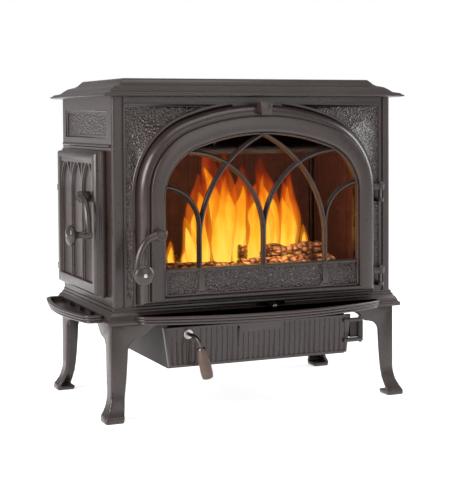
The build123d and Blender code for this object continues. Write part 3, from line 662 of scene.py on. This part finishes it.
# firewood: split logs with cracked bark plates
# crack is the size of a bark plate, depth that of a crack, skin how far the bark lies inside the radius
firewood = {"crack": 22, "depth": 5.0, "skin": 2.9, "rings": 84, "around": 72}


def barkLog(bm, start, finish, radius, seed):
    # log along a line; cracks are cut where two bark plates meet
    way = point(*finish) - point(*start)
    loops = []
    for i in range(firewood["rings"] + 1):
        t = i / firewood["rings"]
        ends = min(1.0, 12 * min(t, 1 - t) + 0.86)
        loops.append(ring(bm, point(*start) + way * t, way, radius * ends, radius * ends, firewood["around"]))
    bridge(bm, loops)
    capLoop(bm, loops[0])
    capLoop(bm, loops[-1])
    for i, loop in enumerate(loops):
        centre = point(*start) + way * (i / firewood["rings"])
        for v in loop:
            out = (v.co - centre).normalized()
            sample = (v.co - way * (0.45 * i / firewood["rings"])) * 1000 / firewood["crack"]
            sample += Vector((seed, 0, seed * 0.7))
            sample += 0.35 * noise.noise_vector(sample * 0.9)
            near = noise.voronoi(sample)[0]
            gap = min(1.0, (near[1] - near[0]) * 3.2)
            lump = noise.noise(sample * 0.33) * 2.6 + noise.noise(sample * 2.1) * 0.9
            v.co -= out * (firewood["depth"] * (1 - gap ** 0.6) + firewood["skin"] + lump * 0.6) * mm


logs = {"front_logs": [((-215, -112, 290), (-20, -104, 284), 36), ((-8, -98, 286), (222, -112, 290), 38)],
        "rear_logs": [((-240, -20, 284), (-10, -10, 282), 34), ((6, -14, 282), (240, -22, 284), 34),
                      ((-200, 70, 286), (200, 76, 286), 38)],
        "cross_log": [((10, -56, 328.5), (222, -60, 330), 22)]}
for node, rods in logs.items():
    bm = bmesh.new()
    for number, (start, finish, radius) in enumerate(rods):
        barkLog(bm, start, finish, radius, 3.7 * number + 11 * len(node))
    finishPiece("bark_" + node, bm, "stove_body", logBark, [node], 60)
print("logs made")


# flames: glowing tongues that rise from the logs, closed and tapering to a point
fire = {"base": 312, "shift": 38, "steps": 26, "around": 22, "tongues": [
    # x, y, height above the base, half width, lean in x
    (-150, -70, 120, 26, -14), (-112, -40, 215, 40, -22), (-70, -66, 262, 46, -4), (-62, -20, 285, 40, -26),
    (-24, -44, 232, 42, 10), (4, -70, 190, 34, 4), (36, -50, 214, 40, -6), (62, -30, 262, 46, -20),
    (92, -62, 196, 36, -2), (112, -30, 226, 36, -12), (-196, -60, 66, 16, -6), (-172, -84, 52, 13, 4),
    (150, -40, 66, 14, 6), (172, -50, 50, 12, 2), (146, -50, 90, 18, -6)]}


def tongue(bm, x, y, height, wide, lean, swell, seed):
    loops = []
    for i in range(fire["steps"] + 1):
        t = i / fire["steps"]
        # widest near a third of the height, drawn out to a tip
        body = (t + 0.06) ** 0.45 * (1 - t) ** 0.85 * 1.55
        wander = noise.noise_vector(Vector((seed * 3.1, seed, t * 2.3))) * wide * 0.75 * t
        place = point(x + fire["shift"] + lean * t ** 1.4 + wander.x, y + wander.y * 0.4,
                      fire["base"] - 14 + height * t)
        loops.append(ring(bm, place, Vector((0, 0, 1)), max(0.3, wide * body * swell),
                          max(0.3, wide * 0.42 * body * swell), fire["around"]))
    bridge(bm, loops)
    capLoop(bm, loops[0])
    capLoop(bm, loops[-1])
    for v in {v for loop in loops for v in loop}:
        shake = noise.noise_vector(Vector((v.co.x * 34 + seed, v.co.y * 34, v.co.z * 9)))
        v.co += Vector((shake.x, shake.y * 0.6, 0)) * wide * 0.30 * mm


for name, swell, tall, look in (("flameCore", 0.70, 0.80, flameCore), ("flameMantle", 1.05, 1.0, flameMantle)):
    bm = bmesh.new()
    for seed, (x, y, height, wide, lean) in enumerate(fire["tongues"]):
        tongue(bm, x, y, height * tall, wide, lean * tall, swell, seed + 0.37)
    finishPiece(name, bm, "stove_body", look, [], 80)
print("flames made")


def stageThing(name, bm, material):
    # something of the studio that isn't part of the stove
    mesh = bpy.data.meshes.new(name)
    bm.to_mesh(mesh)
    bm.free()
    thing = bpy.data.objects.new(name, mesh)
    bpy.context.scene.collection.objects.link(thing)
    mesh.materials.append(material)


# painted shade: a dark card in the mouth of the flue blocks the light from behind that would show through the
# flue hole; it stands where the pipe would be pushed in
bm = bmesh.new()
place = Matrix.Translation(point(0, 243, 578)) @ Matrix.Rotation(math.radians(90), 4, "X")
bmesh.ops.create_circle(bm, cap_ends=True, radius=76 * mm, segments=64, matrix=Matrix.Translation(middle) @ place)
stageThing("pipeShade", bm, sootSteel)
print("pipe card placed")


# floor, light and camera
studio = {"floor": (0.80, 0.81, 0.82), "glow": 0.72, "world": (1.0, 1.0, 1.0), "worldPower": 0.35,
          "key": 120, "fill": 20, "top": 30, "rim": 46, "fire": 1.6, "radius": 3.2, "spread": 40}

bm = bmesh.new()
bmesh.ops.create_circle(bm, cap_ends=True, radius=studio["radius"], segments=96)
made = bmesh.ops.extrude_edge_only(bm, edges=bm.edges[:])
rim = [g for g in made["geom"] if isinstance(g, bmesh.types.BMVert)]
bmesh.ops.scale(bm, vec=(studio["spread"], studio["spread"], 1), verts=rim)
floorLook, nodes, links, shader = newMaterial("studioPaper")
shader.inputs["Base Color"].default_value = (*studio["floor"], 1)
shader.inputs["Roughness"].default_value = 0.55
shader.inputs["Emission Color"].default_value = (1, 1, 1, 1)
shader.inputs["Emission Strength"].default_value = studio["glow"]
stageThing("studioFloor", bm, floorLook)

world = bpy.data.worlds.new("studioSky")
bpy.context.scene.world = world
world.use_nodes = True
nodes, links = world.node_tree.nodes, world.node_tree.links
nodes["Background"].inputs["Color"].default_value = (*studio["world"], 1)
# the backdrop is white to the camera and dimmer as a light
path = nodes.new("ShaderNodeLightPath")
power = nodes.new("ShaderNodeMapRange")
power.inputs["To Min"].default_value = studio["worldPower"]
power.inputs["To Max"].default_value = 1.0
links.new(path.outputs["Is Camera Ray"], power.inputs["Value"])
links.new(power.outputs["Result"], nodes["Background"].inputs["Strength"])


def softLight(name, place, aim, size, power, colour=(1, 1, 1)):
    data = bpy.data.lights.new(name, "AREA")
    data.shape = "RECTANGLE"
    data.size, data.size_y = size
    data.energy = power
    data.color = colour
    light = bpy.data.objects.new(name, data)
    light.location = place
    light.rotation_euler = (Vector(aim) - Vector(place)).to_track_quat("-Z", "Y").to_euler()
    bpy.context.scene.collection.objects.link(light)


softLight("keyLeft", (-3.2, -0.9, 1.7), (0, 0, 0.45), (1.8, 1.8), studio["key"], (1.0, 0.93, 0.90))
softLight("fillFront", (0.9, -3.4, 1.6), (0, 0, 0.4), (2.2, 1.8), studio["fill"])
softLight("topSoft", (0.0, -0.6, 3.0), (0, 0, 0.5), (2.4, 2.0), studio["top"])
softLight("rimRight", (2.8, -0.4, 1.4), (0, 0, 0.45), (1.0, 1.8), studio["rim"])

for x in (-0.09, 0.08):
    data = bpy.data.lights.new("fireGlow", "POINT")
    data.energy = studio["fire"]
    data.color = (1.0, 0.42, 0.12)
    data.shadow_soft_size = 0.06
    glow = bpy.data.objects.new("fireGlow", data)
    glow.location = middle + Vector((x, -0.15, 0.40))
    glow.visible_camera = False
    glow.visible_glossy = False
    glow.visible_transmission = False
    bpy.context.scene.collection.objects.link(glow)

view = {"place": (-1.1498, -2.6818, 0.6411), "yaw": -23.288, "pitch": -2.14, "roll": -0.303,
        "lens": 92.29, "shiftX": -0.0038, "shiftY": -0.1662}
yaw, pitch, roll = (math.radians(view[k]) for k in ("yaw", "pitch", "roll"))
right = Vector((math.cos(yaw), math.sin(yaw), 0))
ahead = Vector((-math.sin(yaw), math.cos(yaw), 0))
up = Vector((0, 0, 1))
gaze = ahead * math.cos(pitch) + up * math.sin(pitch)
head = up * math.cos(pitch) - ahead * math.sin(pitch)
side = right * math.cos(roll) + head * math.sin(roll)
head = head * math.cos(roll) - right * math.sin(roll)
lens = bpy.data.cameras.new("camera")
lens.lens = view["lens"]
lens.shift_x = view["shiftX"]
lens.shift_y = view["shiftY"]
camera = bpy.data.objects.new("camera", lens)
bpy.context.scene.collection.objects.link(camera)
facing = Matrix((side, head, -gaze)).transposed().to_4x4()
camera.matrix_world = Matrix.Translation(middle + Vector(view["place"])) @ facing
bpy.context.scene.camera = camera
bpy.context.scene.view_settings.view_transform = "Standard"
print("studio ready")
